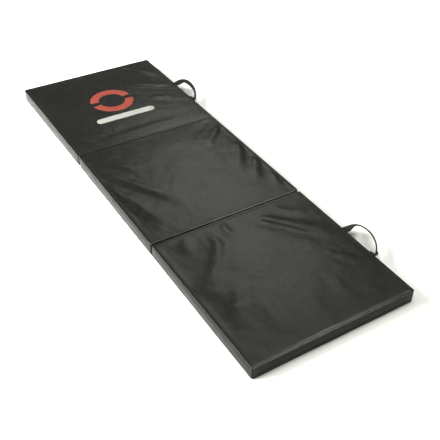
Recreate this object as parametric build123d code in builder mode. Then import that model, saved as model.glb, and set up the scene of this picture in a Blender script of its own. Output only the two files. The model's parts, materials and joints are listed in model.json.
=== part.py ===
from build123d import *
from math import cos, sin, pi
import os

# Folding gym mat: three vinyl covered foam panels in a Z-fold.
# The head and middle panels are hinged along their top edge, the middle and
# foot panels along their bottom edge, so the mat closes like a letter.
# X is across the mat, +Y runs to the head end, +Z is up and the mat rests on
# Z = 0. The origin is the centre of the middle panel's underside.
# All sizes are in millimetres.

os.makedirs("parts", exist_ok=True)

# Driving dimensions
mat_length = 1830
mat_width = 610
mat_height = 48
fold_gap = 6
vinyl = 0.8
welt_radius = 2
welt_corner = 4
base_lift = 0.2
sheet_drop = 1
band_inset = 1
foam_clearance = 0.2
fold_reach = 1.5
seam_radius = 1.2
seam_depth = 1.6

# Handles
web_width = 30
web_thickness = 3.6
loop_radius = 71
loop_slant = 36
far_fullness = 0.72
loop_centre_x = 315
loop_start_x = 305.7
strap_z = 45.95
near_twist = 28
head_handle_y = 564
head_reach = 52
head_far_twist = 60
head_lean = (0.50, 0.65, -0.30)
head_curl = 0.35
foot_handle_y = -641
foot_reach = 68
foot_far_twist = 85
foot_lean = (0.57, 0.52, -0.63)
foot_curl = 0
tail_thickness = 1.8
tail_height = 30

# Worked out from the sizes above
panel_length = (mat_length - 2 * fold_gap) / 3
pitch = panel_length + fold_gap
half_w = mat_width / 2
half_l = panel_length / 2
top_welt_z = mat_height - welt_radius
base_welt_z = base_lift + welt_radius
sheet_z = mat_height - sheet_drop - vinyl
band_bottom = base_lift + 2 * welt_radius
band_top = mat_height - 2 * welt_radius
foam_half_w = half_w - 2 * welt_radius - foam_clearance
foam_half_l = half_l - 2 * welt_radius - foam_clearance


# Foam core: one plain closed-cell block in each panel.
def foam_core(centre_y):
    with BuildPart() as core:
        with BuildSketch(Plane.XY.offset(vinyl)):
            with Locations((0, centre_y)):
                RectangleRounded(2 * foam_half_w, 2 * foam_half_l, 3)
        extrude(amount=sheet_z - vinyl)
    return core.part


# Flat cover sheet. It stops at the welts, and runs on past the edge of the
# panel on the side where it is sewn to the next panel.
def cover_sheet(centre_y, z, margin, far_fold, near_fold):
    far_end = half_l + fold_reach if far_fold else half_l - margin
    near_end = half_l + fold_reach if near_fold else half_l - margin
    wide = 2 * (half_w - margin)
    with BuildPart() as sheet:
        with BuildSketch(Plane.XY.offset(z)):
            with Locations((0, centre_y + (far_end - near_end) / 2)):
                RectangleRounded(wide, far_end + near_end, 3)
        extrude(amount=vinyl)
    return sheet.part


# Side band that runs along Y, on the left (-1) or on the right (+1).
def side_band(centre_y, side):
    with BuildPart() as band:
        with BuildSketch(Plane.XY.offset(band_bottom)):
            with Locations((side * (half_w - band_inset - vinyl / 2), centre_y)):
                Rectangle(vinyl, panel_length - 2 * band_inset)
        extrude(amount=band_top - band_bottom)
    return band.part


# End band that runs along X, on the far (+1) or on the near (-1) edge.
def end_band(centre_y, side):
    mid_y = centre_y + side * (half_l - band_inset - vinyl / 2)
    with BuildPart() as band:
        with BuildSketch(Plane.XY.offset(band_bottom)):
            with Locations((0, mid_y)):
                Rectangle(mat_width - 2 * band_inset - 2 * vinyl, vinyl)
        extrude(amount=band_top - band_bottom)
    return band.part


# Welt: a round piping sewn into the seam. A closed ring goes all round the
# panel; an open one leaves out the edge that is sewn to the next panel.
def welt(centre_y, z, open_side):
    x = half_w - welt_radius
    y = half_l - welt_radius
    tip = centre_y + open_side * half_l if open_side else centre_y - y
    back = centre_y - open_side * y if open_side else centre_y + y
    run = [(x, tip, z), (x, back, z), (-x, back, z), (-x, tip, z)]
    with BuildPart() as piping:
        with BuildLine() as route:
            FilletPolyline(*run, radius=welt_corner, close=open_side == 0)
        with BuildSketch(Plane(origin=route.line @ 0, z_dir=route.line % 0)):
            Circle(welt_radius)
        sweep()
    return piping.part


# Fold seam: the raised bead where two covers are sewn edge to edge.
def fold_seam(y, z):
    with BuildPart() as bead:
        with BuildSketch(Plane.YZ.offset(-half_w + welt_radius)):
            with Locations((y, z)):
                Circle(seam_radius)
        extrude(amount=mat_width - 2 * welt_radius)
    return bead.part


# Handle: a webbing strap that leaves the seam flat, turns on its edge and runs
# round in a loop that slants towards the head end. The lean is the way that
# the strap's far edge points once it has turned, and the upper edge stays level.
def loop_point(centre_y, reach, angle):
    swing = angle * pi / 180
    out = max(cos(swing), 0)
    x = loop_centre_x + reach * out ** (far_fullness if angle > 0 else 1)
    y = centre_y + loop_radius * sin(swing) + loop_slant * out**1.2
    return Vector(x, y, strap_z)


def strap_plane(centre_y, reach, far_twist, lean, curl, angle, lead):
    point = loop_point(centre_y, reach, angle) - Vector(lead, 0, 0)
    along = Vector(-1 if angle > 0 else 1, 0, 0)
    if abs(angle) < 90:
        ahead = loop_point(centre_y, reach, angle + 1)
        along = (ahead - loop_point(centre_y, reach, angle - 1)).normalized()
    far_leg = Vector(loop_start_x, centre_y + loop_radius, strap_z)
    near_leg = Vector(loop_start_x, centre_y - loop_radius, strap_z)
    far_run = (point - far_leg).length / far_twist
    near_run = (point - near_leg).length / near_twist
    turn = min(1, far_run, near_run)
    turn = turn * turn * (3 - 2 * turn)
    edge = Vector(*lean) + Vector(0, 0, curl * sin(angle * pi / 180))
    edge = (edge - along * edge.dot(along)).normalized()
    out = Vector(0, 1, 0) * (1 - turn) + edge * turn
    out = (out - along * out.dot(along)).normalized()
    drop = Vector(0, 0, web_width / 2 * abs(out.Z))
    return Plane(origin=point - drop, x_dir=out, z_dir=along)


def handle_loop(centre_y, reach, far_twist, lean, curl):
    lead = loop_centre_x - loop_start_x
    bend = (-80, -65, -50, -30, -10, 10, 30, 45, 60, 72, 82)
    stations = [(-90, lead), (-90, 0)] + [(a, 0) for a in bend]
    stations += [(90, 0), (90, lead)]
    with BuildPart() as loop:
        for angle, back in stations:
            plane = strap_plane(centre_y, reach, far_twist, lean, curl, angle, back)
            with BuildSketch(plane):
                Rectangle(web_width, web_thickness)
        loft(ruled=True)
    return loop.part


# Strap tail: the end of the webbing, turned down inside the side band.
def strap_tail(centre_y, side):
    x = half_w - band_inset - vinyl - tail_thickness / 2 - 0.2
    with BuildPart() as tail:
        with BuildSketch(Plane.XY.offset(band_top - 0.5)):
            with Locations((x, centre_y + side * loop_radius)):
                Rectangle(tail_thickness, web_width)
        extrude(amount=-tail_height)
    return tail.part


# Head panel: folds on its top near edge.
head_y = pitch
head_foam_core = foam_core(head_y)
head_top_sheet = cover_sheet(head_y, sheet_z, 4, False, True)
head_base_sheet = cover_sheet(head_y, 0, 3.5, False, False)
head_left_band = side_band(head_y, -1)
head_right_band = side_band(head_y, 1)
head_far_band = end_band(head_y, 1)
head_near_band = end_band(head_y, -1)
head_top_welt = welt(head_y, top_welt_z, -1)
head_base_welt = welt(head_y, base_welt_z, 0)

# Middle panel: folds on its top far edge and on its bottom near edge.
middle_foam_core = foam_core(0)
middle_top_sheet = cover_sheet(0, sheet_z, 4, True, False)
middle_base_sheet = cover_sheet(0, 0, 3.5, False, True)
middle_left_band = side_band(0, -1)
middle_right_band = side_band(0, 1)
middle_far_band = end_band(0, 1)
middle_near_band = end_band(0, -1)
middle_top_welt = welt(0, top_welt_z, 1)
middle_base_welt = welt(0, base_welt_z, -1)

# Foot panel: folds on its bottom far edge.
foot_y = -pitch
foot_foam_core = foam_core(foot_y)
foot_top_sheet = cover_sheet(foot_y, sheet_z, 4, False, False)
foot_base_sheet = cover_sheet(foot_y, 0, 3.5, True, False)
foot_left_band = side_band(foot_y, -1)
foot_right_band = side_band(foot_y, 1)
foot_far_band = end_band(foot_y, 1)
foot_near_band = end_band(foot_y, -1)
foot_top_welt = welt(foot_y, top_welt_z, 0)
foot_base_welt = welt(foot_y, base_welt_z, 1)

# Fold seams and handles
top_fold_seam = fold_seam(pitch / 2, mat_height - seam_depth)
base_fold_seam = fold_seam(-pitch / 2, seam_depth)
head_handle = handle_loop(head_handle_y, head_reach, head_far_twist, head_lean, head_curl)
foot_handle = handle_loop(foot_handle_y, foot_reach, foot_far_twist, foot_lean, foot_curl)
head_handle_far_tail = strap_tail(head_handle_y, 1)
head_handle_near_tail = strap_tail(head_handle_y, -1)
foot_handle_far_tail = strap_tail(foot_handle_y, 1)
foot_handle_near_tail = strap_tail(foot_handle_y, -1)

pieces = {
    "head_foam_core": head_foam_core,
    "head_top_sheet": head_top_sheet,
    "head_base_sheet": head_base_sheet,
    "head_left_band": head_left_band,
    "head_right_band": head_right_band,
    "head_far_band": head_far_band,
    "head_near_band": head_near_band,
    "head_top_welt": head_top_welt,
    "head_base_welt": head_base_welt,
    "middle_foam_core": middle_foam_core,
    "middle_top_sheet": middle_top_sheet,
    "middle_base_sheet": middle_base_sheet,
    "middle_left_band": middle_left_band,
    "middle_right_band": middle_right_band,
    "middle_far_band": middle_far_band,
    "middle_near_band": middle_near_band,
    "middle_top_welt": middle_top_welt,
    "middle_base_welt": middle_base_welt,
    "foot_foam_core": foot_foam_core,
    "foot_top_sheet": foot_top_sheet,
    "foot_base_sheet": foot_base_sheet,
    "foot_left_band": foot_left_band,
    "foot_right_band": foot_right_band,
    "foot_far_band": foot_far_band,
    "foot_near_band": foot_near_band,
    "foot_top_welt": foot_top_welt,
    "foot_base_welt": foot_base_welt,
    "top_fold_seam": top_fold_seam,
    "base_fold_seam": base_fold_seam,
    "head_handle": head_handle,
    "foot_handle": foot_handle,
    "head_handle_far_tail": head_handle_far_tail,
    "head_handle_near_tail": head_handle_near_tail,
    "foot_handle_far_tail": foot_handle_far_tail,
    "foot_handle_near_tail": foot_handle_near_tail,
}

for name, solid in pieces.items():
    solid.label = name
    export_step(solid, "parts/" + name + ".step")
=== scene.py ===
import json
import math

import bpy
import numpy as np
from mathutils import Matrix, Vector
from mathutils.bvhtree import BVHTree


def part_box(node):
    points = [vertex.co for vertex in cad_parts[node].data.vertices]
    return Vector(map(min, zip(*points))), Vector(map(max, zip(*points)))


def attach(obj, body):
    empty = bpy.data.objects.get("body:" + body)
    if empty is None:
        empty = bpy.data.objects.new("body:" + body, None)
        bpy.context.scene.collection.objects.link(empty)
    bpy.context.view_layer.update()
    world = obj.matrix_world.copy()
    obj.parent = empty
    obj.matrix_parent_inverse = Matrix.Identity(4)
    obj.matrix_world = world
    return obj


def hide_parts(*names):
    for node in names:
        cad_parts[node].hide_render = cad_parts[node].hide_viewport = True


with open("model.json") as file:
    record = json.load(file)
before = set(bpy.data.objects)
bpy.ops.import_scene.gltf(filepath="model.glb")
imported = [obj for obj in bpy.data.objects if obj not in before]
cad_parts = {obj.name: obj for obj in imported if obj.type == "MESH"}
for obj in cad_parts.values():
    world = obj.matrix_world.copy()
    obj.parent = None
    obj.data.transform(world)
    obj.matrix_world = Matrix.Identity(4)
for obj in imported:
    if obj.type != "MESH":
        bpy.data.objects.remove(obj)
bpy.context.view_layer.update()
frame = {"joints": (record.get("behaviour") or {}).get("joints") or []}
scene = bpy.context.scene

PANELS = ("head", "middle", "foot")
TOP_FOLD = next(joint for joint in frame["joints"] if joint["name"] == "top_fold")["pos_m"]
VINYL = 0.0008      # the coated fabric's thickness
STITCH_IN = 0.0070  # from a cover's edge to its row of stitches
CORNER = 0.004      # the covers' corner radius
PEBBLES = 950       # grain cells per metre


# ---------------------------------------------------------------- numbers

def lattice(x, y, size, seed):
    """Smooth noise from -1 to 1 on the plane, with blobs of about that size in metres."""
    table = np.random.default_rng(seed).uniform(-1, 1, (64, 64))
    gx, gy = np.asarray(x, float) / size + 900.37, np.asarray(y, float) / size + 900.71
    ix, iy = np.floor(gx).astype(int), np.floor(gy).astype(int)
    fx, fy = gx - ix, gy - iy
    fx, fy = fx * fx * (3 - 2 * fx), fy * fy * (3 - 2 * fy)
    a, b = table[ix % 64, iy % 64], table[(ix + 1) % 64, iy % 64]
    c, d = table[ix % 64, (iy + 1) % 64], table[(ix + 1) % 64, (iy + 1) % 64]
    return (a * (1 - fx) + b * fx) * (1 - fy) + (c * (1 - fx) + d * fx) * fy


def line_noise(t, size, seed):
    """Smooth noise from -1 to 1 along a line."""
    return lattice(t, np.full_like(np.asarray(t, float), 0.123 + seed), size, seed)


def bump(d, width):
    return np.exp(-((d / width) ** 2))


def crease(u, v, half, points, height, width, skew=0.0):
    """A ridge along a given line in the panel's own -1 to 1 coordinates, fading out at its ends.
    The sign of skew says on which side of the ridge a shallow trough runs, and 0 leaves it out."""
    x, y = u * half[0], v * half[1]
    best, where = np.full(np.shape(u), 1e9), np.zeros(np.shape(u))
    side = np.zeros(np.shape(u))
    line = [np.array((a * half[0], b * half[1])) for a, b in points]
    runs = [np.linalg.norm(b - a) for a, b in zip(line, line[1:])]
    total, done = sum(runs), 0.0
    for a, b, run in zip(line, line[1:], runs):
        d = (b - a) / run
        t = np.clip((x - a[0]) * d[0] + (y - a[1]) * d[1], 0, run)
        off = np.hypot(x - a[0] - t * d[0], y - a[1] - t * d[1])
        near = off < best
        best = np.where(near, off, best)
        where = np.where(near, (done + t) / total, where)
        side = np.where(near, (x - a[0]) * d[1] - (y - a[1]) * d[0], side)
        done += run
    fade = np.clip(np.minimum(where * 4, (1 - where) * 2), 0, 1)
    fade = fade * fade * (3 - 2 * fade)
    grow = width * (0.85 + 1.0 * where)
    trough = 0.5 * abs(skew) * bump(side + 1.5 * grow * skew, 1.1 * grow)
    return 0.9 * height * fade * (bump(best, grow) - trough)


# ---------------------------------------------------------------- mesh code

def link(name, verts, faces, material, smooth=True, uvs=None):
    mesh = bpy.data.meshes.new(name)
    mesh.from_pydata([tuple(map(float, v)) for v in verts], [], [tuple(map(int, f)) for f in faces])
    if uvs is not None:
        layer = mesh.uv_layers.new(name="along")
        index = np.zeros(len(mesh.loops), np.int32)
        mesh.loops.foreach_get("vertex_index", index)
        layer.data.foreach_set("uv", np.asarray(uvs, np.float32)[index].ravel())
    mesh.polygons.foreach_set("use_smooth", [smooth] * len(mesh.polygons))
    mesh.materials.append(material)
    mesh.update()
    obj = bpy.data.objects.new(name, mesh)
    scene.collection.objects.link(obj)
    return obj


def grid_faces(rows, cols, first=0, flip=False):
    """The quads between neighbouring points of a grid."""
    i, j = np.meshgrid(np.arange(rows - 1), np.arange(cols - 1), indexing="ij")
    a = first + i * cols + j
    quads = np.stack([a, a + 1, a + cols + 1, a + cols], axis=-1).reshape(-1, 4)
    return quads[:, ::-1] if flip else quads


def shell(name, outer, inner, material):
    """A closed thin solid between two matching grids of points. outer is the side that shows."""
    rows, cols = outer.shape[:2]
    n = rows * cols
    faces = [grid_faces(rows, cols), grid_faces(rows, cols, n, True)]
    ring = list(range(cols))
    ring += [i * cols + cols - 1 for i in range(1, rows)]
    ring += [(rows - 1) * cols + j for j in range(cols - 2, -1, -1)]
    ring += [i * cols for i in range(rows - 2, 0, -1)]
    a = np.array(ring)
    b = np.roll(a, -1)
    faces.append(np.stack([b, a, a + n, b + n], axis=-1))
    verts = np.concatenate([outer.reshape(-1, 3), inner.reshape(-1, 3)])
    return link(name, verts, np.concatenate(faces), material)


def normals_of(grid):
    """The unit normal at each point of a grid of points."""
    du = np.gradient(grid, axis=0)
    dv = np.gradient(grid, axis=1)
    n = np.cross(du, dv)
    return n / np.maximum(np.linalg.norm(n, axis=-1, keepdims=True), 1e-12)


def tube(name, path, radius, material, closed=False, sides=12):
    """A round piping along a path of points. Open ends are rounded off."""
    path = np.asarray(path, float)
    radius = np.broadcast_to(np.asarray(radius, float), (len(path),)).copy()
    if not closed:
        start, end = path[0] - path[1], path[-1] - path[-2]
        start, end = start / np.linalg.norm(start), end / np.linalg.norm(end)
        r0, r1 = radius[0], radius[-1]
        path = np.concatenate([[path[0] + start * r0 * 0.9, path[0] + start * r0 * 0.6], path,
                               [path[-1] + end * r1 * 0.6, path[-1] + end * r1 * 0.9]])
        radius = np.concatenate([[r0 * 0.35, r0 * 0.8], radius, [r1 * 0.8, r1 * 0.35]])
        along = np.gradient(path, axis=0)
    else:
        along = np.roll(path, -1, 0) - np.roll(path, 1, 0)
    along /= np.linalg.norm(along, axis=1, keepdims=True)
    side = np.cross(along, (0, 0, 1))
    side /= np.linalg.norm(side, axis=1, keepdims=True)
    up = np.cross(side, along)
    turn = np.linspace(0, 2 * math.pi, sides, endpoint=False)
    ring = np.cos(turn)[None, :, None] * side[:, None] + np.sin(turn)[None, :, None] * up[:, None]
    verts = (path[:, None] + ring * radius[:, None, None]).reshape(-1, 3)
    n = len(path)
    faces = []
    for i in range(n if closed else n - 1):
        for j in range(sides):
            k, m = (i + 1) % n, (j + 1) % sides
            faces.append((i * sides + j, i * sides + m, k * sides + m, k * sides + j))
    if not closed:
        faces.append(tuple(range(sides - 1, -1, -1)))
        faces.append(tuple((n - 1) * sides + j for j in range(sides)))
    run = np.concatenate([[0], np.cumsum(np.linalg.norm(np.diff(path, axis=0), axis=1))])
    uvs = np.stack([np.repeat(run, sides), np.tile(turn, n) * 0.002], axis=-1)
    return link(name, verts, faces, material, uvs=uvs)


def finish_piece(obj, body, replaces=()):
    """Puts a piece on its body and hides the CAD nodes that it stands for."""
    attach(obj, body)
    if replaces:
        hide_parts(*replaces)
    return obj


# ---------------------------------------------------------------- materials

def new_material(name):
    m = bpy.data.materials.new(name)
    m.use_nodes = True
    tree = m.node_tree
    return m, tree, tree.nodes["Principled BSDF"]


def node(tree, kind, **settings):
    made = tree.nodes.new(kind)
    for key, value in settings.items():
        setattr(made, key, value)
    return made


def noise_node(tree, where, scale, detail=3.0, rough=0.5, distortion=0.0):
    made = node(tree, "ShaderNodeTexNoise")
    made.inputs["Scale"].default_value = scale
    made.inputs["Detail"].default_value = detail
    made.inputs["Roughness"].default_value = rough
    made.inputs["Distortion"].default_value = distortion
    tree.links.new(where, made.inputs["Vector"])
    return made.outputs["Fac"]


def span(tree, value, low, high, from_low=0.3, from_high=0.7):
    made = node(tree, "ShaderNodeMapRange", clamp=True)
    for key, number in (("From Min", from_low), ("From Max", from_high), ("To Min", low), ("To Max", high)):
        made.inputs[key].default_value = number
    tree.links.new(value, made.inputs["Value"])
    return made.outputs["Result"]


def mix_colour(tree, factor, a, b):
    made = node(tree, "ShaderNodeMix", data_type="RGBA")
    made.inputs[6].default_value = (*a, 1) if not hasattr(a, "links") else (0, 0, 0, 1)
    made.inputs[7].default_value = (*b, 1) if not hasattr(b, "links") else (0, 0, 0, 1)
    if hasattr(a, "links"):
        tree.links.new(a, made.inputs[6])
    if hasattr(b, "links"):
        tree.links.new(b, made.inputs[7])
    tree.links.new(factor, made.inputs[0])
    return made.outputs[2]


def maths(tree, what, a, b=None):
    made = node(tree, "ShaderNodeMath", operation=what)
    for i, value in enumerate((a, b)):
        if value is None:
            continue
        if hasattr(value, "links"):
            tree.links.new(value, made.inputs[i])
        else:
            made.inputs[i].default_value = value
    return made.outputs[0]


def weighted(tree, a, share, b):
    """That share of a, and the rest of b."""
    return maths(tree, "ADD", maths(tree, "MULTIPLY", a, share), maths(tree, "MULTIPLY", b, 1 - share))


def ridges(tree, value, pitch):
    """Rounded ridges at that pitch along a coordinate."""
    return maths(tree, "ABSOLUTE", maths(tree, "SINE", maths(tree, "MULTIPLY", value, math.pi / pitch)))


def add_bump(tree, height, strength, distance, before=None):
    made = node(tree, "ShaderNodeBump")
    made.inputs["Strength"].default_value = strength
    made.inputs["Distance"].default_value = distance
    tree.links.new(height, made.inputs["Height"])
    if before is not None:
        tree.links.new(before, made.inputs["Normal"])
    return made.outputs["Normal"]


def vinyl(name, dark, light, rough=(0.34, 0.46), grain=0.5, crinkle=0.5, specular=0.5):
    """Coated fabric: a pebbled grain about 1 mm across, fine crinkles, and dusty, scuffed patches."""
    m, tree, shader = new_material(name)
    where = node(tree, "ShaderNodeTexCoord").outputs["Object"]
    cloud = noise_node(tree, where, 5.5, 4, 0.55, 0.6)
    patch = noise_node(tree, where, 34, 5, 0.6, 0.4)
    fine = noise_node(tree, where, 420, 3, 0.6)
    both = weighted(tree, cloud, 0.55, patch)
    body = mix_colour(tree, span(tree, both, 0.0, 1.0, 0.36, 0.64), dark, light)
    dust = span(tree, maths(tree, "MULTIPLY", fine, patch), 0.0, 0.35, 0.27, 0.42)
    dusty = tuple(c * 1.7 + 0.004 for c in light)
    tree.links.new(mix_colour(tree, dust, body, dusty), shader.inputs["Base Color"])
    worn = weighted(tree, patch, 0.6, fine)
    tree.links.new(span(tree, worn, rough[0], rough[1], 0.35, 0.65), shader.inputs["Roughness"])
    pebble = node(tree, "ShaderNodeTexVoronoi", feature="SMOOTH_F1")
    pebble.inputs["Scale"].default_value = PEBBLES
    pebble.inputs["Smoothness"].default_value = 0.6
    warp = node(tree, "ShaderNodeMix", data_type="VECTOR")
    warp.inputs[0].default_value = 0.0012
    tree.links.new(where, warp.inputs[4])
    wobble = node(tree, "ShaderNodeTexNoise")
    wobble.inputs["Scale"].default_value = 300
    tree.links.new(where, wobble.inputs["Vector"])
    tree.links.new(wobble.outputs["Color"], warp.inputs[5])
    tree.links.new(warp.outputs[1], pebble.inputs["Vector"])
    normal = add_bump(tree, noise_node(tree, where, 85, 6, 0.62, 0.9), crinkle, 0.0009)
    normal = add_bump(tree, noise_node(tree, where, 260, 4, 0.6, 0.5), crinkle, 0.00025, normal)
    normal = add_bump(tree, pebble.outputs["Distance"], grain, 0.00022, normal)
    tree.links.new(normal, shader.inputs["Normal"])
    shader.inputs["Specular IOR Level"].default_value = specular
    return m


def webbing(name):
    """Polypropylene strap: fine ribs across it in two lanes of chevron, with firmer selvedges; its colour
    has painted shade in the troughs of the ribs.
    """
    m, tree, shader = new_material(name)
    uv = node(tree, "ShaderNodeUVMap", uv_map="along").outputs[0]
    split = node(tree, "ShaderNodeSeparateXYZ")
    tree.links.new(uv, split.inputs[0])
    along, across = split.outputs[0], split.outputs[1]
    zig = maths(tree, "PINGPONG", across, 0.0032)
    slant = maths(tree, "ADD", along, maths(tree, "MULTIPLY", zig, 0.9))
    weave = weighted(tree, ridges(tree, slant, 0.0011), 0.65, ridges(tree, across, 0.0016))
    where = node(tree, "ShaderNodeTexCoord").outputs["Object"]
    fuzz = noise_node(tree, where, 1500, 3, 0.6)
    patch = noise_node(tree, where, 60, 3, 0.5)
    # painted shade: the colour follows the weave's relief, darker in its troughs and lighter on its crests
    shade = span(tree, weave, 0.0, 1.0, 0.1, 0.9)
    colour = mix_colour(tree, shade, (0.0015, 0.0015, 0.0015), (0.006, 0.006, 0.0058))
    fluff = span(tree, maths(tree, "MULTIPLY", fuzz, patch), 0, 0.5, 0.26, 0.45)
    colour = mix_colour(tree, fluff, colour, (0.014, 0.014, 0.0135))
    tree.links.new(colour, shader.inputs["Base Color"])
    tree.links.new(span(tree, fuzz, 0.62, 0.8), shader.inputs["Roughness"])
    normal = add_bump(tree, weave, 0.7, 0.00035)
    normal = add_bump(tree, fuzz, 0.25, 0.0001, normal)
    tree.links.new(normal, shader.inputs["Normal"])
    shader.inputs["Sheen Weight"].default_value = 0.04
    shader.inputs["Sheen Roughness"].default_value = 0.5
    shader.inputs["Specular IOR Level"].default_value = 0.18
    return m


def thread(name):
    """Twisted sewing thread, a little lighter than the vinyl."""
    m, tree, shader = new_material(name)
    where = node(tree, "ShaderNodeTexCoord").outputs["Object"]
    twist = node(tree, "ShaderNodeTexWave", wave_type="BANDS", bands_direction="DIAGONAL")
    twist.inputs["Scale"].default_value = 900
    tree.links.new(where, twist.inputs["Vector"])
    spots = noise_node(tree, where, 300, 2)
    colour = mix_colour(tree, spots, (0.016, 0.016, 0.016), (0.04, 0.04, 0.04))
    tree.links.new(colour, shader.inputs["Base Color"])
    tree.links.new(span(tree, spots, 0.4, 0.55), shader.inputs["Roughness"])
    tree.links.new(add_bump(tree, twist.outputs["Fac"], 0.4, 0.0001), shader.inputs["Normal"])
    return m


def foam(name):
    """Grey foam with open cells."""
    m, tree, shader = new_material(name)
    where = node(tree, "ShaderNodeTexCoord").outputs["Object"]
    cells = node(tree, "ShaderNodeTexVoronoi", feature="F1")
    cells.inputs["Scale"].default_value = 650
    tree.links.new(where, cells.inputs["Vector"])
    patch = noise_node(tree, where, 14, 4, 0.5)
    colour = mix_colour(tree, span(tree, patch, 0, 1), (0.30, 0.30, 0.29), (0.42, 0.42, 0.40))
    pit = span(tree, cells.outputs["Distance"], 0.0, 0.6, 0.15, 0.6)
    tree.links.new(mix_colour(tree, pit, colour, (0.16, 0.16, 0.15)), shader.inputs["Base Color"])
    tree.links.new(span(tree, patch, 0.75, 0.9), shader.inputs["Roughness"])
    tree.links.new(add_bump(tree, cells.outputs["Distance"], 0.6, 0.0006), shader.inputs["Normal"])
    shader.inputs["Specular IOR Level"].default_value = 0.2
    return m


def ink(name, colour, worn):
    """Screen print: an even film that lets the vinyl grain through and is rubbed thin in specks."""
    m, tree, shader = new_material(name)
    where = node(tree, "ShaderNodeTexCoord").outputs["Object"]
    rub = maths(tree, "MULTIPLY", noise_node(tree, where, 700, 4, 0.65), noise_node(tree, where, 60, 3, 0.5))
    uneven = span(tree, noise_node(tree, where, 30, 4, 0.6), 0, 1)
    base = mix_colour(tree, uneven, colour, tuple(c * 0.86 for c in colour))
    thin = span(tree, rub, 0, 0.7, 0.33, 0.46)
    tree.links.new(mix_colour(tree, thin, base, worn), shader.inputs["Base Color"])
    tree.links.new(span(tree, rub, 0.36, 0.5, 0.15, 0.35), shader.inputs["Roughness"])
    pebble = node(tree, "ShaderNodeTexVoronoi", feature="SMOOTH_F1")
    pebble.inputs["Scale"].default_value = PEBBLES
    tree.links.new(where, pebble.inputs["Vector"])
    normal = add_bump(tree, noise_node(tree, where, 85, 6, 0.62, 0.9), 0.4, 0.0008)
    tree.links.new(add_bump(tree, pebble.outputs["Distance"], 0.4, 0.0002, normal), shader.inputs["Normal"])
    return m


CHARCOAL = (0.007, 0.007, 0.0065), (0.012, 0.012, 0.011)
COVER = vinyl("cover_vinyl", (0.0030, 0.0031, 0.0027), (0.0054, 0.0055, 0.0048), (0.17, 0.25), crinkle=0.55)
SIDE = vinyl("side_vinyl", (0.0030, 0.0031, 0.0028), (0.0050, 0.0051, 0.0047), (0.26, 0.36), specular=0.13)
BASE = vinyl("base_vinyl", *CHARCOAL, (0.46, 0.58), grain=0.8)
WELT = vinyl("welt_vinyl", *CHARCOAL, (0.12, 0.20), grain=0.15, crinkle=0.2, specular=0.9)
WEB = webbing("webbing")
THREAD = thread("thread")
FOAM = foam("foam")
RED = ink("print_red", (0.19, 0.034, 0.022), (0.08, 0.016, 0.011))
WHITE = ink("print_white", (0.26, 0.265, 0.255), (0.13, 0.13, 0.125))


# ---------------------------------------------------------------- panels

class Panel:
    """One panel's sizes, read from its CAD nodes. sheet and base hold a cover's half width, and its near
    and far edge measured from the panel's middle."""

    def __init__(self, name):
        self.name, self.body = name, name + "_panel"
        low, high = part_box(name + "_base_welt")
        self.half = ((high.x - low.x) / 2, (high.y - low.y) / 2)
        self.y = (low.y + high.y) / 2
        self.welt_r = (high.z - low.z) / 2
        self.base_welt_z = (high.z + low.z) / 2
        low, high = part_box(name + "_top_welt")
        self.top_welt_z = (high.z + low.z) / 2
        self.top_z = high.z
        low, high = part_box(name + "_top_sheet")
        self.sheet = (high.x, low.y - self.y, high.y - self.y)
        low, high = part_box(name + "_base_sheet")
        self.base = (high.x, low.y - self.y, high.y - self.y)
        low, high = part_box(name + "_right_band")
        self.band = (high.x, high.y - self.y, low.z, high.z)


panels = {name: Panel(name) for name in PANELS}

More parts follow.
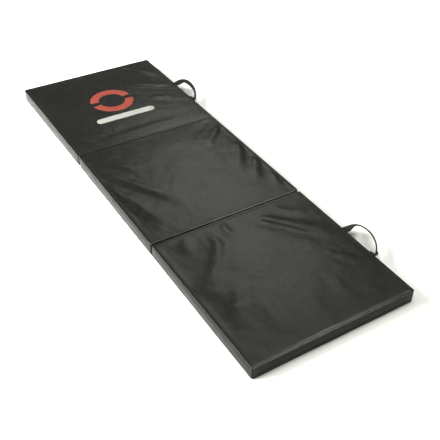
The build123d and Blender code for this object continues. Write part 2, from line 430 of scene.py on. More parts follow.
# The creases of each cover, as lines in the panel's own -1 to 1 coordinates (across, along), with the
# ridge's height and half width in metres and its skew. A negative height is a hollow.
CREASES = {
    "head": [
        ([(-0.85, -0.90), (-0.4, -0.86), (0.0, -0.85), (0.5, -0.87), (0.95, -0.94)], 0.0036, 0.019, 1),
        ([(0.40, 0.95), (0.60, 0.79), (0.78, 0.60), (0.96, 0.38)], 0.0046, 0.013, -1),
        ([(0.30, 0.42), (0.55, 0.27), (0.80, 0.15), (0.97, 0.06)], 0.0042, 0.014, -1),
        ([(0.12, 0.96), (0.27, 0.70), (0.38, 0.45)], -0.0030, 0.020, 0),
        ([(-0.98, -0.60), (-0.86, -0.66), (-0.76, -0.74), (-0.68, -0.84)], 0.0032, 0.008, -1),
        ([(-0.98, -0.41), (-0.80, -0.42), (-0.60, -0.47)], 0.0020, 0.012, 1),
        ([(0.45, -0.12), (0.62, -0.18), (0.82, -0.28)], 0.0026, 0.015, -1),
        ([(-0.33, 0.97), (-0.33, 0.84), (-0.31, 0.70)], 0.0030, 0.009, 1),
        ([(-0.14, 0.97), (-0.19, 0.82), (-0.24, 0.66)], 0.0030, 0.010, -1),
        ([(-0.44, 0.97), (-0.40, 0.85), (-0.35, 0.74)], 0.0022, 0.008, 1),
        ([(0.05, 0.97), (0.02, 0.86), (0.00, 0.72)], 0.0020, 0.009, 1),
        ([(-0.97, 0.30), (-0.75, 0.12), (-0.55, 0.02)], 0.0020, 0.020, 1),
    ],
    "middle": [
        ([(-0.98, 0.82), (-0.86, 0.43), (-0.68, 0.11), (-0.50, -0.18), (-0.34, -0.43), (-0.22, -0.60)],
         0.0062, 0.015, -1),
        ([(-0.96, 0.92), (-0.79, 0.71), (-0.61, 0.50), (-0.45, 0.28)], 0.0054, 0.011, -1),
        ([(-0.93, 0.97), (-0.75, 0.84), (-0.52, 0.72)], 0.0030, 0.011, -1),
        ([(-0.99, 0.36), (-0.89, -0.07), (-0.79, -0.43), (-0.62, -0.84)], 0.0052, 0.019, -1),
        ([(0.97, 0.80), (0.79, 0.61), (0.61, 0.46), (0.46, 0.34)], 0.0046, 0.012, 1),
        ([(0.98, 0.34), (0.84, 0.06), (0.68, -0.16), (0.54, -0.34)], 0.0044, 0.014, 1),
        ([(0.98, -0.10), (0.86, -0.30), (0.72, -0.48), (0.62, -0.62)], 0.0040, 0.013, 1),
        ([(0.98, -0.52), (0.90, -0.66), (0.80, -0.86)], 0.0032, 0.012, 1),
        ([(0.92, 0.97), (0.70, 0.82), (0.45, 0.66)], -0.0024, 0.013, 0),
        ([(0.55, 0.62), (0.42, 0.50), (0.34, 0.30)], 0.0014, 0.022, 1),
    ],
    "foot": [
        ([(-0.32, 0.90), (-0.36, 0.66), (-0.46, 0.48), (-0.64, 0.27), (-0.82, 0.05), (-0.97, -0.13)],
         0.0056, 0.019, 0.5),
        ([(-0.90, 0.92), (-0.80, 0.55), (-0.92, 0.15)], -0.0042, 0.046, 0),
        ([(-0.80, 0.05), (-0.93, -0.25), (-0.97, -0.60)], -0.0030, 0.034, 0),
        ([(-0.48, 0.02), (-0.64, -0.18), (-0.75, -0.34), (-0.90, -0.52)], 0.0040, 0.018, 0.4),
        ([(0.22, 0.88), (0.43, 0.64), (0.61, 0.43), (0.79, 0.25), (0.97, 0.10)], 0.0044, 0.016, -1),
        ([(0.56, -0.02), (0.71, -0.25), (0.84, -0.44)], 0.0024, 0.011, -1),
        ([(0.50, 0.92), (0.66, 0.72), (0.84, 0.56)], 0.0022, 0.014, -1),
        ([(-0.13, 0.95), (-0.16, 0.80), (-0.18, 0.62)], 0.0020, 0.012, 1),
        ([(-0.60, 0.96), (-0.68, 0.80), (-0.80, 0.62)], 0.0022, 0.018, 1),
        ([(0.06, -0.42), (-0.02, -0.70), (-0.10, -0.95)], 0.0010, 0.018, 1),
        ([(0.38, -0.32), (0.36, -0.66), (0.33, -0.95)], 0.0009, 0.018, -1),
        ([(-0.38, -0.24), (-0.47, -0.58), (-0.54, -0.90)], 0.0014, 0.020, 1),
    ],
}
# How far the middle of each cover stands above its piping
CROWN = {"head": 0.0042, "middle": 0.0046, "foot": 0.0058}


def edge_gap(size, x, y):
    """How far a point of a cover is in from the cover's nearest edge."""
    wide, near, far = size
    return np.minimum(np.minimum(wide - x, x + wide), np.minimum(y - near, far - y))


def pillow(p, x, y):
    """The cover's height without its creases: a quick rise beside the piping, then a low crown."""
    wide, near, far = p.sheet
    low, high = p.top_welt_z + 0.0004, p.top_z - 0.0001
    z = np.ones(np.broadcast(x, y).shape)
    for gap in (wide - x, x + wide, y - near, far - y):
        z = z * (1 - np.exp(-np.maximum(gap, 0) / 0.0016))
    middle = (near + far) / 2
    u, v = np.abs(x) / wide, np.abs(y - middle) / ((far - near) / 2)
    # the foot panel's cover falls away gradually towards its left edge
    power = np.where((x < 0) & (p.name == "foot"), 1.6, 2.8)
    crown = (1 - np.clip(u, 0, 1) ** power) * (1 - np.clip(v, 0, 1) ** 3)
    return low + (high - low) * z + CROWN[p.name] * crown


def seeds(p, x, y):
    """The cover's creases and soft waves before they settle."""
    u, v = x / p.half[0], y / p.half[1]
    total = np.zeros(np.broadcast(x, y).shape)
    for points, height, width, skew in CREASES[p.name]:
        total = total + crease(u, v, p.half, points, height, width, skew)
    gap = np.clip(edge_gap(p.sheet, x, y) / 0.02, 0, 1)
    total = total + 0.0008 * lattice(x, y + p.y, 0.10, 7) + 0.00045 * lattice(x, y + p.y, 0.042, 8)
    return total * gap


def settle(p, cells=76, frames=22):
    """Cloth simulation: the loose cover, seeded with its creases, drops on to the foam, held at its seams.
    Returns the settled height over the pillow shape, on an even grid."""
    wide, near, far = p.sheet
    xs, ys = np.linspace(-wide, wide, cells), np.linspace(near, far, cells)
    x, y = np.meshgrid(xs, ys, indexing="ij")
    rest = pillow(p, x, y)
    lift = seeds(p, x, y)
    loose = np.stack([x, y, rest + np.maximum(lift, -0.0008)], -1).reshape(-1, 3)
    padding = np.stack([x, y, rest - 0.0022], -1).reshape(-1, 3)
    cloth = link("drop_" + p.name, loose, grid_faces(cells, cells), COVER)
    bed = link("bed_" + p.name, padding, grid_faces(cells, cells, flip=True), FOAM)
    pins = cloth.vertex_groups.new(name="sewn")
    held = edge_gap(p.sheet, x, y).ravel() < 0.010
    pins.add([int(i) for i in np.flatnonzero(held)], 1.0, "REPLACE")
    bed.modifiers.new("Collision", "COLLISION")
    bed.collision.thickness_outer = 0.001
    bed.collision.use_culling = False
    bed.collision.cloth_friction = 12
    made = cloth.modifiers.new("Cloth", "CLOTH")
    s = made.settings
    s.quality = 7
    s.mass = 0.35
    s.air_damping = 2.0
    s.tension_stiffness = s.compression_stiffness = 30
    s.shear_stiffness = 12
    s.bending_stiffness = 3.0
    s.tension_damping = s.compression_damping = 12
    s.vertex_group_mass = "sewn"
    s.effector_weights.gravity = 0.6
    made.collision_settings.distance_min = 0.001
    made.collision_settings.use_self_collision = False
    made.point_cache.frame_end = frames
    for f in range(1, frames + 1):
        scene.frame_set(f)
    settled = cloth.evaluated_get(bpy.context.evaluated_depsgraph_get()).to_mesh()
    co = np.zeros(cells * cells * 3, np.float32)
    settled.vertices.foreach_get("co", co)
    height = co.reshape(cells, cells, 3)[..., 2].astype(float) - rest
    cloth.to_mesh_clear()
    scene.frame_set(1)
    for o in (cloth, bed):
        bpy.data.objects.remove(o)
    return xs, ys, height


def resample(xs, ys, field, nx, ny):
    """The coarse field at finer grid lines, by cubic convolution."""
    def weights(old, new):
        t = (new - old[0]) / (old[1] - old[0])
        i = np.clip(np.floor(t).astype(int), 0, len(old) - 2)
        f = t - i
        w = np.zeros((len(new), len(old)))
        parts = (-f**3 + 2 * f**2 - f, 3 * f**3 - 5 * f**2 + 2, -3 * f**3 + 4 * f**2 + f, f**3 - f**2)
        for k, part in enumerate(parts):
            np.add.at(w, (np.arange(len(new)), np.clip(i + k - 1, 0, len(old) - 1)), part / 2)
        return w
    return weights(xs, nx) @ field @ weights(ys, ny).T


def fine_lines(low, high, step=0.005):
    """Grid lines that crowd together beside both edges, where the seams are."""
    edge = np.array([0, 0.7, 1.4, 2.2, 3.2, 4.4, 5.4, 6.2, 7, 7.8, 8.8, 10.2, 12.5, 15.5, 19.5]) / 1000
    inner = np.linspace(low + 0.024, high - 0.024, int(round((high - low - 0.048) / step)) + 1)
    return np.concatenate([low + edge, inner, (high - edge)[::-1]])


def round_corners(x, y, wide, near, far, r):
    """Pulls a square grid's corners in on to arcs of radius r."""
    mid, half = (near + far) / 2, (far - near) / 2
    dx, dy = np.abs(x) - (wide - r), np.abs(y - mid) - (half - r)
    reach = np.maximum(dx, dy)
    out = np.hypot(np.maximum(dx, 0), np.maximum(dy, 0))
    corner = (dx > 0) & (dy > 0)
    k = np.where(corner, reach / np.maximum(out, 1e-9), 1.0)
    nx = np.where(corner, np.sign(x) * (wide - r + dx * k), x)
    ny = np.where(corner, mid + np.sign(y - mid) * (half - r + dy * k), y)
    return nx, ny


def top_cover(p):
    """The top sheet: its settled creases, the puckers along its seams, and fine ripples all over."""
    wide, near, far = p.sheet
    xs, ys, settled = settle(p)
    nx, ny = fine_lines(-wide, wide), fine_lines(near, far)
    x, y = np.meshgrid(nx, ny, indexing="ij")
    gap = edge_gap(p.sheet, x, y)
    fade = np.clip((gap - 0.004) / 0.016, 0, 1)
    drop = 0.30 * resample(xs, ys, settled, nx, ny) + 0.85 * seeds(p, x, y)
    highest, deepest = 0.0048, 0.0030
    drop = np.where(drop > 0, highest * np.tanh(drop / highest), deepest * np.tanh(drop / deepest))
    z = pillow(p, x, y) + drop * fade
    # the seam draws the cloth in: short puckers, and a groove under the stitches
    for side, run, seed in ((wide - x, y, 3), (x + wide, y, 4), (far - y, x, 5), (y - near, x, 6)):
        tuck = 0.55 * line_noise(run + p.y, 0.013, seed) + 0.45 * line_noise(run + p.y, 0.031, seed + 20)
        z = z + 0.00055 * tuck * np.exp(-side / 0.016) * np.clip(side / 0.004, 0, 1)
        z = z - 0.00030 * bump(side - STITCH_IN, 0.0010)
    z = z + 0.00024 * lattice(x, y + p.y, 0.019, 11) * fade
    z = z + 0.00010 * lattice(x, y + p.y, 0.009, 12) * fade
    if p.name != "foot":
        # beside the top fold the cover stays low enough to close on its neighbour
        limit = TOP_FOLD[2] + 0.033 * np.abs(y + p.y - TOP_FOLD[1])
        soft = 0.0004
        z = -soft * np.log(np.exp(-z / soft) + np.exp(-limit / soft))
    x, y = round_corners(x, y, wide, near, far, CORNER)
    top = np.stack([x, y + p.y, z], -1)
    low = top - normals_of(top) * VINYL
    obj = shell(p.name + "_cover", top, low, COVER)
    finish_piece(obj, p.body, [p.name + "_top_sheet"])
    return obj


def base_cover(p):
    """The base sheet: flat on the floor, rising a little at its seams."""
    wide, near, far = p.base
    nx, ny = fine_lines(-wide, wide, 0.010), fine_lines(near, far, 0.010)
    x, y = np.meshgrid(nx, ny, indexing="ij")
    gap = edge_gap(p.base, x, y)
    lift = 0.0007 * np.exp(-gap / 0.004)
    lift = lift + 0.0005 * np.maximum(lattice(x, y + p.y, 0.06, 31), 0) * np.exp(-gap / 0.05)
    lift = lift + 0.00025 * np.maximum(lattice(x, y + p.y, 0.03, 32), 0)
    x, y = round_corners(x, y, wide, near, far, CORNER)
    under = np.stack([x, y + p.y, 0.00002 + lift], -1)[:, ::-1]
    obj = shell(p.name + "_underside", under, under + np.array([0, 0, VINYL]), BASE)
    finish_piece(obj, p.body, [p.name + "_base_sheet"])


def side_strip(p, side):
    """The gusset along one side: pushed out by the foam, with a slack crease part of the way down."""
    out_x, out_y, low, high = p.band
    r = 0.0042
    reach, half = (out_x, out_y) if side in ("left", "right") else (out_y, out_x)
    # the strip seen from above: each end turns part of the way round the panel's corner
    arc = np.radians(np.linspace(45, 4, 6))
    straight = np.linspace(-(half - r), half - r, 132)
    run = np.concatenate([-(half - r) - r * np.sin(arc), straight, (half - r + r * np.sin(arc))[::-1]])
    bend = reach - r + r * np.cos(arc)
    away = np.concatenate([bend, np.full(len(straight), reach), bend[::-1]])[:, None]
    face_run = np.concatenate([-np.sin(arc), np.zeros(len(straight)), np.sin(arc)[::-1]])[:, None]
    face_away = np.concatenate([np.cos(arc), np.ones(len(straight)), np.cos(arc)[::-1]])[:, None]
    up = np.concatenate([[0, 0.02, 0.05], np.linspace(0.09, 0.91, 19), [0.95, 0.98, 1.0]])
    run, z = np.meshgrid(run, low + (high - low) * up, indexing="ij")
    h = (z - low) / (high - low)
    ends = np.clip((half - np.abs(run)) / 0.03, 0.0, 1)
    ends = ends * ends * (3 - 2 * ends)
    # the belly, with its slack crease, puckers at both seams and small dents
    seed = 40 + 7 * PANELS.index(p.name) + ("left", "right", "far", "near").index(side)
    swell = 0.0022 if side == "left" else 0.0012
    belly = swell * np.clip(4 * h * (1 - h), 0, 1) ** 0.75 * (0.35 + 0.65 * ends)
    fold_h = 0.42 + 0.10 * line_noise(run, 0.13, seed) + 0.05 * line_noise(run, 0.05, seed + 1)
    fold_z = low + (high - low) * fold_h
    depth = 0.0011 * ends * (0.7 + 0.5 * line_noise(run, 0.09, seed + 2))
    belly = belly - depth * bump(z - fold_z, 0.0028) + 0.35 * depth * bump(z - fold_z - 0.006, 0.004)
    pucker = 0.6 * line_noise(run, 0.012, seed + 3) + 0.4 * line_noise(run, 0.028, seed + 4)
    belly = belly + 0.00040 * pucker * (np.exp(-(1 - h) * 5) + np.exp(-h * 5)) * ends
    belly = belly + 0.0004 * lattice(run, z * 2, 0.045, seed + 5) * ends
    belly = belly + 0.00015 * lattice(run, z, 0.012, seed + 6)
    belly = belly - 0.0006 * bump(half - np.abs(run) - 0.0008, 0.0016)
    along, outward = run + face_run * belly, away + face_away * belly
    sign, flat = 1 if side in ("right", "far") else -1, 0 * z
    if side in ("left", "right"):
        outer = np.stack([sign * outward, along + p.y, z], -1)
        push = np.stack([sign * face_away + flat, face_run + flat, flat], -1)
    else:
        outer = np.stack([along, sign * outward + p.y, z], -1)
        push = np.stack([face_run + flat, sign * face_away + flat, flat], -1)
    inner = outer - push * VINYL
    if side in ("left", "far"):
        outer, inner = outer[::-1], inner[::-1]
    obj = shell(f"{p.name}_{side}_gusset", outer, inner, SIDE)
    finish_piece(obj, p.body, [f"{p.name}_{side}_band"])


# The side, +1 far or -1 near, on which a welt stops because the seam is shared with the next panel
OPEN_SIDE = {("head", "top"): -1, ("middle", "top"): 1, ("middle", "base"): -1, ("foot", "base"): 1}


def rounded_loop(wx, wy, r):
    """Points about 5 mm apart round a rectangle with round corners, starting at its near right corner."""
    corners = [(1, -1), (1, 1), (-1, 1), (-1, -1)]
    pts = []
    for i, (cx, cy) in enumerate(corners):
        centre = np.array([cx * (wx - r), cy * (wy - r)])
        for angle in np.linspace(0, 90, 7):
            a = math.radians(angle - 90 + 90 * i)
            pts.append(centre + r * np.array([math.cos(a), math.sin(a)]))
        after = corners[(i + 1) % 4]
        a = math.radians(90 * i)
        start = pts[-1]
        stop = np.array([after[0] * (wx - r), after[1] * (wy - r)])
        stop = stop + r * np.array([math.cos(a), math.sin(a)])
        steps = int(np.linalg.norm(stop - start) / 0.005)
        pts += [start + (stop - start) * t for t in np.linspace(0, 1, steps + 1)[1:-1]]
    return np.array(pts)


def piping(p, level):
    """The round welt sewn into the top or base seam, open on the side that is joined to the next panel."""
    z = p.top_welt_z if level == "top" else p.base_welt_z
    open_side = OPEN_SIDE.get((p.name, level), 0)
    wx, wy, r = p.half[0] - p.welt_r, p.half[1] - p.welt_r, 0.005
    pts = rounded_loop(wx, wy, r)
    if open_side:
        keep = np.abs(pts[:, 1] - open_side * wy) >= r + 0.001
        start = int(np.flatnonzero(keep & ~np.roll(keep, 1))[0])
        pts = np.roll(pts, -start, 0)[: int(keep.sum())]
        tip = open_side * (p.half[1] - 0.0012)
        pts = np.concatenate([[(pts[0][0], tip)], pts, [(pts[-1][0], tip)]])
    run = np.concatenate([[0], np.cumsum(np.linalg.norm(np.diff(pts, axis=0), axis=1))])
    seed = 90 + 3 * PANELS.index(p.name) + (level == "top")
    along = np.gradient(pts, axis=0)
    along /= np.linalg.norm(along, axis=1, keepdims=True)
    side = np.stack([along[:, 1], -along[:, 0]], -1)
    sway = 0.00022 * line_noise(run, 0.06, seed) + 0.0001 * line_noise(run, 0.02, seed + 1)
    lift = 0.00012 * line_noise(run, 0.05, seed + 2)
    flat = pts + side * sway[:, None]
    path = np.column_stack([flat[:, 0], flat[:, 1] + p.y, z + lift])
    radius = p.welt_r * (0.955 + 0.025 * line_noise(run, 0.008, seed + 3))
    obj = tube(f"{p.name}_{level}_piping", path, radius, WELT, closed=not open_side)
    finish_piece(obj, p.body, [f"{p.name}_{level}_welt"])


def core(p):
    """The foam block: crowned on top, soft edged, and a little slumped at the sides."""
    low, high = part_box(p.name + "_foam_core")
    wide, half = high.x, (high.y - low.y) / 2
    n = 44
    t = np.sin(np.linspace(-1, 1, n) * math.pi / 2 * 0.96) / math.sin(math.pi / 2 * 0.96)
    x, y = np.meshgrid(t * wide, t * half, indexing="ij")
    u, v = np.abs(x) / wide, np.abs(y) / half
    edge = np.minimum(wide - np.abs(x), half - np.abs(y))
    round_off, clearance = 0.0035, 0.0035
    shoulder = round_off * np.exp(-edge / round_off)
    top = high.z - clearance - shoulder + CROWN[p.name] * 0.9 * (1 - u**2.4) * (1 - v**2.4)
    top = top + 0.0002 * lattice(x, y + p.y, 0.03, 61)
    bottom = low.z + 0.0004 + shoulder * 0.8
    x, y = round_corners(x, y, wide, -half, half, 0.006)
    upper, lower = (np.stack([x, y + p.y, z], -1) for z in (top, bottom))
    obj = shell(p.name + "_foam", upper, lower, FOAM)
    finish_piece(obj, p.body, [p.name + "_foam_core"])


def surface(obj):
    """What spot_below() needs to find a cover's surface."""
    mesh = obj.data
    return BVHTree.FromPolygons([v.co for v in mesh.vertices], [tuple(f.vertices) for f in mesh.polygons])


def spot_below(tree, x, y):
    """The point of that surface straight below (x, y), or None."""
    return tree.ray_cast(Vector((x, y, 0.08)), Vector((0, 0, -1)))[0]


STITCH_PITCH, STITCH_LONG = 0.0046, 0.0035
# One stitch from end to end: place along it, height of its middle over the cover, radius
STITCH_PROFILE = ((-0.5, -0.00030, 0.00010), (-0.36, 0.00008, 0.00030), (0.0, 0.00022, 0.00034),
                  (0.36, 0.00008, 0.00030), (0.5, -0.00030, 0.00010))


def stitch(middle, d, verts, faces, sides=6):
    """Adds one stitch at a point of the cover, along the direction d."""
    first = len(verts)
    across = Vector((-d.y, d.x, 0))
    for t, rise, r in STITCH_PROFILE:
        c = Vector((middle.x + d.x * t * STITCH_LONG, middle.y + d.y * t * STITCH_LONG, middle.z + rise))
        for q in range(sides):
            turn = q * 2 * math.pi / sides
            verts.append(c + across * (math.cos(turn) * r) + Vector((0, 0, math.sin(turn) * r)))
    last = first + (len(STITCH_PROFILE) - 1) * sides
    for row in range(first, last, sides):
        for q in range(sides):
            m = (q + 1) % sides
            faces.append((row + m, row + q, row + sides + q, row + sides + m))
    faces.append(tuple(first + q for q in range(sides)))
    faces.append(tuple(last + q for q in range(sides - 1, -1, -1)))


def stitches(p, cover):
    """A row of lockstitch round the cover, just inside the piping."""
    wide, near, far = p.sheet
    tree = surface(cover)
    verts, faces = [], []
    x, low, high = wide - STITCH_IN, near + STITCH_IN, far - STITCH_IN
    corners = [Vector(c) for c in ((-x, low), (x, low), (x, high), (-x, high))]
    for a, b in zip(corners, corners[1:] + corners[:1]):
        length = (b - a).length
        count = int(length / STITCH_PITCH)
        d = (b - a) / length
        for k in range(count):
            mid = a + d * (k + 0.5) * length / count
            spot = spot_below(tree, mid.x, mid.y + p.y)
            if spot is not None:
                stitch(Vector((mid.x, mid.y + p.y, spot.z)), d, verts, faces)
    finish_piece(link(p.name + "_stitching", verts, faces, THREAD), p.body)


covers = {}
for panel in panels.values():
    covers[panel.name] = top_cover(panel)
    base_cover(panel)
    for edge in ("left", "right", "far", "near"):
        side_strip(panel, edge)
    for level in ("top", "base"):
        piping(panel, level)
    core(panel)
    stitches(panel, covers[panel.name])


# ---------------------------------------------------------------- fold seams

def seam_bead(node_name, name, body, rise, radius):
    """The stitched seam that joins two panels, from side to side."""
    low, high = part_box(node_name)
    xs = np.linspace(low.x + 0.001, high.x - 0.001, 150)
    y = (low.y + high.y) / 2 + 0.00010 * line_noise(xs, 0.05, 71)
    z = (low.z + high.z) / 2 + rise + 0.00018 * line_noise(xs, 0.04, 72)
    r = radius * (1 + 0.05 * line_noise(xs, 0.007, 73))
    obj = tube(name, np.column_stack([xs, y, z]), r, WELT)
    finish_piece(obj, body, [node_name])


seam_bead("top_fold_seam", "head_middle_seam", "head_panel", 0.0013, 0.00144)
seam_bead("base_fold_seam", "middle_foot_seam", "middle_panel", 0.0, 0.0012)


# ---------------------------------------------------------------- handles

def strap_section(width, thick):
    """Points round a flat strap's cross section, with rounded selvedges."""
    half, r = width / 2 - thick / 2, thick / 2
    pts = [(x, r) for x in np.linspace(-half, half, 9)]
    pts += [(half + r * math.sin(a), r * math.cos(a)) for a in np.radians((30, 60, 90, 120, 150))]
    pts += [(x, -r) for x in np.linspace(half, -half, 9)]
    pts += [(-half - r * math.sin(a), -r * math.cos(a)) for a in np.radians((30, 60, 90, 120, 150))]
    return np.array(pts)


def strap(name, centres, outs, alongs, thick, gather=1.0):
    """A flat webbing strap along a line. outs points across it, and gather narrows it."""
    section = strap_section(STRAP_WIDE, thick)
    centres, outs, alongs = (np.asarray(a, float) for a in (centres, outs, alongs))
    alongs = alongs / np.linalg.norm(alongs, axis=1, keepdims=True)
    outs = outs - alongs * (outs * alongs).sum(1, keepdims=True)
    outs = outs / np.linalg.norm(outs, axis=1, keepdims=True)
    ups = np.cross(alongs, outs)
    across = outs * np.broadcast_to(gather, len(centres))[:, None]
    verts = centres[:, None] + section[None, :, :1] * across[:, None] + section[None, :, 1:] * ups[:, None]
    n, m = len(centres), len(section)
    faces = []
    for i in range(n - 1):
        for j in range(m):
            k = (j + 1) % m
            faces.append((i * m + k, i * m + j, (i + 1) * m + j, (i + 1) * m + k))
    faces.append(tuple(range(m)))
    faces.append(tuple((n - 1) * m + j for j in range(m - 1, -1, -1)))
    run = np.concatenate([[0], np.cumsum(np.linalg.norm(np.diff(centres, axis=0), axis=1))])
    uvs = np.stack([np.repeat(run, m), np.tile(section[:, 0], n) + 0.05], -1)
    return link(name, verts.reshape(-1, 3), faces, WEB, uvs=uvs)


STRAP_WIDE, LOOP_THICK, TAIL_THICK = 0.0295, 0.0034, 0.0016
HALF_WIDE = 0.0148    # how far a strap that stands on its edge hangs below its flat stretch
FLAT_LEAD = 0.0093    # the flat stretch between the seam and the loop
SLANT = 0.036         # how far the loop's outer end is drawn towards the head end
REACH = {"head": 0.052, "foot": 0.068}
# The strap's length in which it turns on to its edge, from each leg
FAR_TWIST, NEAR_TWIST = {"head": 0.060, "foot": 0.085}, 0.028
# The direction across the turned strap, and how much its z grows from the near leg to the far one
LEAN = {"head": (0.53, 0.62, -0.24, 0.35), "foot": (0.62, 0.52, -0.58, 0.0)}


def handle(which):
    """The webbing loop: it leaves the seam flat, turns on its edge and slants towards the head end.
    Returns the length of the loop's middle line."""
    low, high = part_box(which + "_handle")
    far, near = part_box(which + "_handle_far_tail"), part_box(which + "_handle_near_tail")
    far_y, near_y = (far[0].y + far[1].y) / 2, (near[0].y + near[1].y) / 2
    centre_y, loop_r = (far_y + near_y) / 2, (far_y - near_y) / 2
    start_x, middle_x = low.x, low.x + FLAT_LEAD
    swing = np.radians(np.linspace(-90, 90, 91))
    out = np.maximum(np.cos(swing), 0)
    x = middle_x + REACH[which] * out ** np.where(swing > 0, 0.72, 1.0)
    y = centre_y + loop_r * np.sin(swing) + SLANT * out ** np.where(swing > 0, 0.8, 1.2)
    lead = np.linspace(start_x, middle_x, 6)[:-1]
    x = np.concatenate([lead, x, lead[::-1]])
    y = np.concatenate([np.full(5, near_y), y, np.full(5, far_y)])
    swing = np.concatenate([np.full(5, swing[0]), swing, np.full(5, swing[-1])])
    centres = np.column_stack([x, y, np.full(len(x), high.z - 0.0018)])
    alongs = np.gradient(centres, axis=0)
    alongs /= np.linalg.norm(alongs, axis=1, keepdims=True)
    far_run = np.hypot(x - start_x, y - far_y) / FAR_TWIST[which]
    near_run = np.hypot(x - start_x, y - near_y) / NEAR_TWIST
    turn = np.minimum(1, np.minimum(far_run, near_run))
    turn = (turn * turn * (3 - 2 * turn))[:, None]
    ax, ay, az, curl = LEAN[which]
    edge = np.column_stack([np.full(len(x), ax), np.full(len(x), ay), az + curl * np.sin(swing)])
    edge -= alongs * (edge * alongs).sum(1)[:, None]
    edge /= np.linalg.norm(edge, axis=1, keepdims=True)
    outs = np.array((0, 1, 0)) * (1 - turn) + edge * turn
    outs -= alongs * (outs * alongs).sum(1)[:, None]
    outs /= np.linalg.norm(outs, axis=1, keepdims=True)
    centres[:, 2] -= HALF_WIDE * np.abs(outs[:, 2])
    # the near leg is gathered to half its width where it enters the seam
    gather = 0.5 + 0.5 * np.clip(near_run / 0.05, 0, 1)
    obj = strap(which + "_webbing_loop", centres, outs, alongs, LOOP_THICK, gather)
    finish_piece(obj, which + "_strap", [which + "_handle"])
    for end in ("far", "near"):
        tail(which, end)
    return float(np.linalg.norm(np.diff(centres, axis=0), axis=1).sum())


def tail(which, end):
    """The end of a loop's webbing, sewn in behind the gusset."""
    name, n = f"{which}_handle_{end}_tail", 10
    low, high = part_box(name)
    x = (low.x + high.x) / 2 - 0.0001 + 0.00008 * np.sin(np.arange(n))
    centres = np.column_stack([x, np.full(n, (low.y + high.y) / 2), np.linspace(high.z, low.z, n)])
    outs, alongs = np.tile((0, 1, 0), (n, 1)), np.tile((0, 0, -1), (n, 1))
    obj = strap(f"{which}_webbing_{end}_tail", centres, outs, alongs, TAIL_THICK)
    finish_piece(obj, which + "_panel", [name])


strap_length = {which: handle(which) for which in ("head", "foot")}


# ---------------------------------------------------------------- print

def film(name, outline_rows, material, cover, body):
    """A thin print laid on the cover. outline_rows is a grid of (x, y) points."""
    tree = surface(cover)
    rows, cols = outline_rows.shape[:2]
    top = np.zeros((rows, cols, 3))
    for i in range(rows):
        for j in range(cols):
            x, y = outline_rows[i, j]
            top[i, j] = (x, y, spot_below(tree, x, y).z + 0.00016)
    obj = shell(name, top, top - np.array([0, 0, 0.00022]), material)
    finish_piece(obj, body)


def arc_rows(cx, cy, inner, outer, start, stop):
    """Part of a ring, between two angles in degrees."""
    r, a = np.meshgrid(np.linspace(inner, outer, 9), np.radians(np.linspace(start, stop, 72)), indexing="ij")
    return np.stack([cx + r * np.cos(a), cy + r * np.sin(a)], -1)


def bar_rows(cx, cy, wide, tall):
    """A bar with round ends."""
    x = np.linspace(-1, 1, 110) * wide / 2
    end = np.clip((np.abs(x) - (wide - tall) / 2) / (tall / 2), 0, 0.999)
    half = tall / 2 * np.sqrt(1 - end**2)
    v = np.linspace(-1, 1, 12)
    return np.stack([cx + x[:, None] + 0 * v[None], cy + half[:, None] * v[None]], -1)


def prints(p, cover):
    """A plain ring in two arcs with a bar below it, on the head panel."""
    x, ring_y, bar_y = -0.03 * p.half[0], p.y + 0.019, p.y - 0.120
    for name, start in (("upper", 10), ("lower", 190)):
        film("print_arc_" + name, arc_rows(x, ring_y, 0.056, 0.094, start, start + 160), RED, cover, p.body)
    film("print_bar", bar_rows(x, bar_y, 0.264, 0.036), WHITE, cover, p.body)


prints(panels["head"], covers["head"])


# ---------------------------------------------------------------- studio

def studio_floor(size=14.0, drop=0.0004):
    m, tree, shader = new_material("studio_floor")
    where = node(tree, "ShaderNodeTexCoord").outputs["Object"]
    colour = mix_colour(tree, noise_node(tree, where, 3), (0.86, 0.86, 0.86), (0.88, 0.88, 0.88))
    tree.links.new(colour, shader.inputs["Base Color"])
    shader.inputs["Roughness"].default_value = 0.9
    shader.inputs["Specular IOR Level"].default_value = 0.1
    corners = [(size * a, size * b, -drop) for a, b in ((-1, -1), (1, -1), (1, 1), (-1, 1))]
    link("studio_floor", corners, [(0, 1, 2, 3)], m, smooth=False)


def studio_world():
    """White behind the object, and for its lighting a sky that is brighter above than near the floor."""
    world = bpy.data.worlds.new("studio")
    world.use_nodes = True
    tree = world.node_tree
    sky = tree.nodes["Background"]
    height = node(tree, "ShaderNodeSeparateXYZ")
    tree.links.new(node(tree, "ShaderNodeTexCoord").outputs["Generated"], height.inputs[0])
    sky.inputs["Color"].default_value = (1, 1, 0.95, 1)
    tree.links.new(span(tree, height.outputs[2], 0.16, 0.32, 0.35, 0.85), sky.inputs["Strength"])
    backdrop = node(tree, "ShaderNodeBackground")
    backdrop.inputs["Color"].default_value = (1, 1, 1, 1)
    backdrop.inputs["Strength"].default_value = 1.0
    either = node(tree, "ShaderNodeMixShader")
    tree.links.new(node(tree, "ShaderNodeLightPath").outputs["Is Camera Ray"], either.inputs[0])
    tree.links.new(sky.outputs[0], either.inputs[1])
    tree.links.new(backdrop.outputs[0], either.inputs[2])
    tree.links.new(either.outputs[0], tree.nodes["World Output"].inputs["Surface"])
    scene.world = world


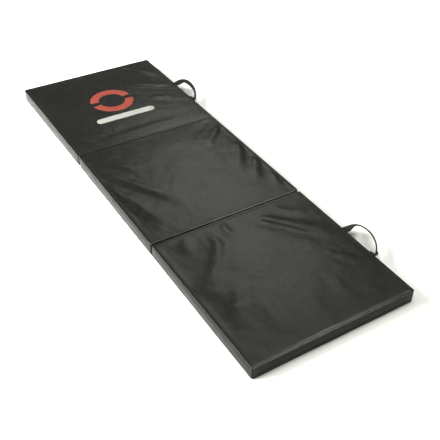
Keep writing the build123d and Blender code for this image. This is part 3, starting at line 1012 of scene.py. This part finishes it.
def softbox(name, place, target, wide, tall, power, roll=0.0, glossy=True):
    """A rectangular lamp at a place, turned to a target. One that isn't glossy makes no highlight."""
    data = bpy.data.lights.new(name, "AREA")
    data.shape = "RECTANGLE"
    data.size, data.size_y = wide, tall
    data.energy = power
    data.color = (1.0, 1.0, 0.93)
    obj = bpy.data.objects.new(name, data)
    obj.location = place
    facing = (Vector(target) - Vector(place)).to_track_quat("-Z", "Y").to_matrix()
    obj.rotation_euler = (facing @ Matrix.Rotation(math.radians(roll), 3, "Z")).to_euler()
    obj.visible_glossy = glossy
    scene.collection.objects.link(obj)


studio_floor()
studio_world()
softbox("key_softbox", (3.65, 4.75, 5.30), (0, 0, 0), 3.8, 0.95, 31, roll=-45)
softbox("rim_softbox", (2.0, -0.5, 3.9), (0, -0.3, 0), 1.2, 1.2, 48)
softbox("left_softbox", (-2.2, 0.9, 1.5), (-0.3, 0.0, 0), 2.6, 1.2, 300, glossy=False)
softbox("overhead_softbox", (-0.8, -0.5, 4.5), (-0.1, -0.2, 0), 2.6, 2.6, 118)


# ---------------------------------------------------------------- camera

def add_camera(place, heading, pitch, roll, lens):
    """A camera turned by heading from +Y towards +X, then down by pitch, in degrees."""
    data = bpy.data.cameras.new("camera")
    data.lens, data.sensor_width = lens, 36
    data.clip_start, data.clip_end = 0.05, 60
    camera = bpy.data.objects.new("camera", data)
    heading, pitch, roll = (math.radians(angle) for angle in (heading, pitch, roll))
    level, fall = math.cos(pitch), -math.sin(pitch)
    ahead = Vector((math.sin(heading) * level, math.cos(heading) * level, fall))
    right = ahead.cross(Vector((0, 0, 1))).normalized()
    up = right.cross(ahead)
    right, up = right * math.cos(roll) + up * math.sin(roll), up * math.cos(roll) - right * math.sin(roll)
    turned = Matrix((right, up, -ahead)).transposed()
    camera.matrix_world = Matrix.Translation(place) @ turned.to_4x4()
    scene.collection.objects.link(camera)
    scene.camera = camera


add_camera((-1.0843, -1.9569, 1.6156), heading=32.43, pitch=38.76, roll=1.31, lens=58.97)
scene.view_settings.view_transform = "Standard"
scene.view_settings.look = "None"
